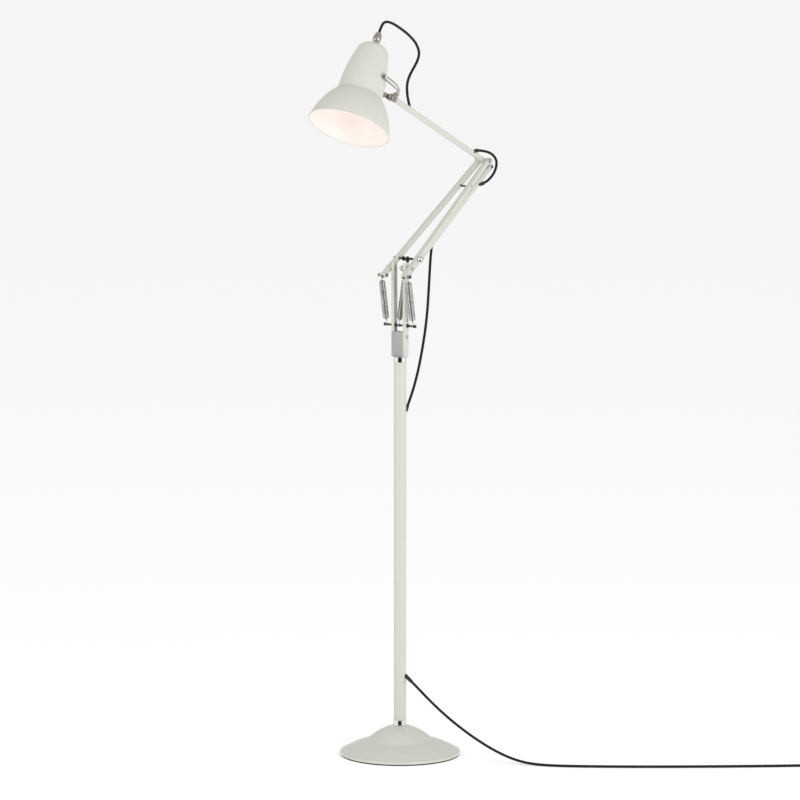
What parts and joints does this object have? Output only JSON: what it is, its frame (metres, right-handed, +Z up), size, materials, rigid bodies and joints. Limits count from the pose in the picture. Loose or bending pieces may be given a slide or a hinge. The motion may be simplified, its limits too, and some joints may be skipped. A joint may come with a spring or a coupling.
{
  "type": "adjustable arm floor lamp",
  "caption": "Floor lamp with a round weighted base and pole, a sprung folding arm and a tilting bell-shaped shade on a yoke.",
  "frame": {"origin": "centre of the base's underside, on the floor", "axes": "+Z up along the pole; +X the way the lower arm leans, in the plane that the arms fold in; +Y along the arm pivots, to the left of +X"},
  "size_m": [0.8559, 1.0539, 1.714],
  "materials": {
    "cream_paint": "satin",
    "glossy_base_paint": "gloss",
    "shade_paint": "satin",
    "grey_casting": "matte",
    "iron": "rough",
    "foot_felt": "matte",
    "chrome": "polished",
    "steel": "satin",
    "dark_steel": "satin",
    "spring_steel": "bright",
    "nickel": "satin",
    "bronze_casting": "satin",
    "nylon": "matte",
    "rubber": "matte",
    "cord_braid": "braided",
    "holder_plastic": "matte",
    "bulb_glass": "frosted",
    "plug_plastic": "matte",
    "brass": "polished",
    "strap": "woven"
  },
  "bodies": {
    "stand": {"base_cover": "glossy_base_paint", "base_weight": "iron", "base_pad": "foot_felt", "pole": "cream_paint", "pole_boss": "steel", "pole_bolt": "steel", "pole_collars": "chrome", "swivel_bush": "nylon", "cord_grommets": "rubber", "mains_lead": "cord_braid", "mains_coil": "cord_braid", "cord_tie": "strap", "plug": "plug_plastic", "plug_pins": "brass", "feed_cord_lower": "cord_braid"},
    "fork": {"swivel_block": "grey_casting", "spindle_clip": "steel", "left_upright": "cream_paint", "right_upright": "cream_paint", "fork_rivets": "steel", "anchor_rod": "dark_steel", "anchor_nuts": "dark_steel", "shoulder_bolts": "steel", "shoulder_spacers": "steel", "outer_springs": "spring_steel", "middle_spring": "spring_steel", "feed_cord_upper": "cord_braid"},
    "lower_arm": {"left_rail": "cream_paint", "right_rail": "cream_paint", "tail_pins": "dark_steel", "arm_nuts": "steel", "cross_bolt": "dark_steel", "stop_plate": "dark_steel", "rail_spacer": "dark_steel", "elbow_bolt": "steel"},
    "knob": {"friction_knob": "chrome"},
    "crank": {"crank_plate": "cream_paint", "crank_pin": "steel"},
    "link": {"link_bar": "cream_paint", "link_cord_sleeve": "rubber"},
    "upper_arm": {"upper_arm_tube": "cream_paint", "tail_fitting": "steel", "link_pin": "steel", "head_plug": "steel", "arm_cord_sleeve": "rubber", "elbow_cord": "cord_braid", "head_cord_lower": "cord_braid"},
    "yoke": {"yoke_casting": "bronze_casting", "yoke_limbs": "nickel", "yoke_screws": "steel"},
    "head": {"shade_shell": "shade_paint", "tilt_screws": "chrome", "cap_flange": "nickel", "cord_grip": "nickel", "grip_screw": "steel", "lampholder": "holder_plastic", "holder_ring": "holder_plastic", "holder_nipple": "brass", "bulb": "bulb_glass", "head_cord_upper": "cord_braid"}
  },
  "joints": [
    {"name": "pole_swivel", "type": "hinge", "parent": "stand", "child": "fork", "pos_m": [0, 0, 0.93], "axis": [0, 0, 1], "range_deg": [-150, 150], "deforming": ["feed_cord_lower"]},
    {"name": "shoulder", "type": "hinge", "parent": "fork", "child": "lower_arm", "pos_m": [0, 0, 1.1406], "axis": [0, -1, 0], "range_deg": [-25, 35], "deforming": ["outer_springs", "feed_cord_upper"]},
    {"name": "elbow", "type": "hinge", "parent": "lower_arm", "child": "upper_arm", "pos_m": [0.35071, 0, 1.3606], "axis": [0, 1, 0], "range_deg": [-18, 70]},
    {"name": "crank_turn", "type": "hinge", "parent": "lower_arm", "child": "crank", "pos_m": [0, 0, 1.1406], "axis": [0, 1, 0], "range_deg": [-18.5, 70.5], "deforming": ["middle_spring"]},
    {"name": "link_pivot", "type": "hinge", "parent": "upper_arm", "child": "link", "pos_m": [0.37615, 0, 1.3447], "axis": [0, 1, 0], "range_deg": [-70.5, 18.5], "deforming": ["elbow_cord"]},
    {"name": "knob_turn", "type": "hinge", "parent": "lower_arm", "child": "knob", "pos_m": [0.028, -0.04, 1.15994], "axis": [0, -1, 0], "continuous": true},
    {"name": "head_roll", "type": "hinge", "parent": "upper_arm", "child": "yoke", "pos_m": [-0.03102, 0, 1.53577], "axis": [-0.9089, 0, 0.4171], "range_deg": [-60, 60], "deforming": ["head_cord_lower"]},
    {"name": "shade_tilt", "type": "hinge", "parent": "yoke", "child": "head", "pos_m": [-0.14075, 0.00012, 1.59266], "axis": [-0.0087, 0.9998, -0.019], "range_deg": [-35, 25], "deforming": ["head_cord_upper"]}
  ],
  "couplings": [
    {"joint": "crank_turn", "follows": "elbow", "ratio": 1},
    {"joint": "link_pivot", "follows": "elbow", "ratio": -1}
  ]
}
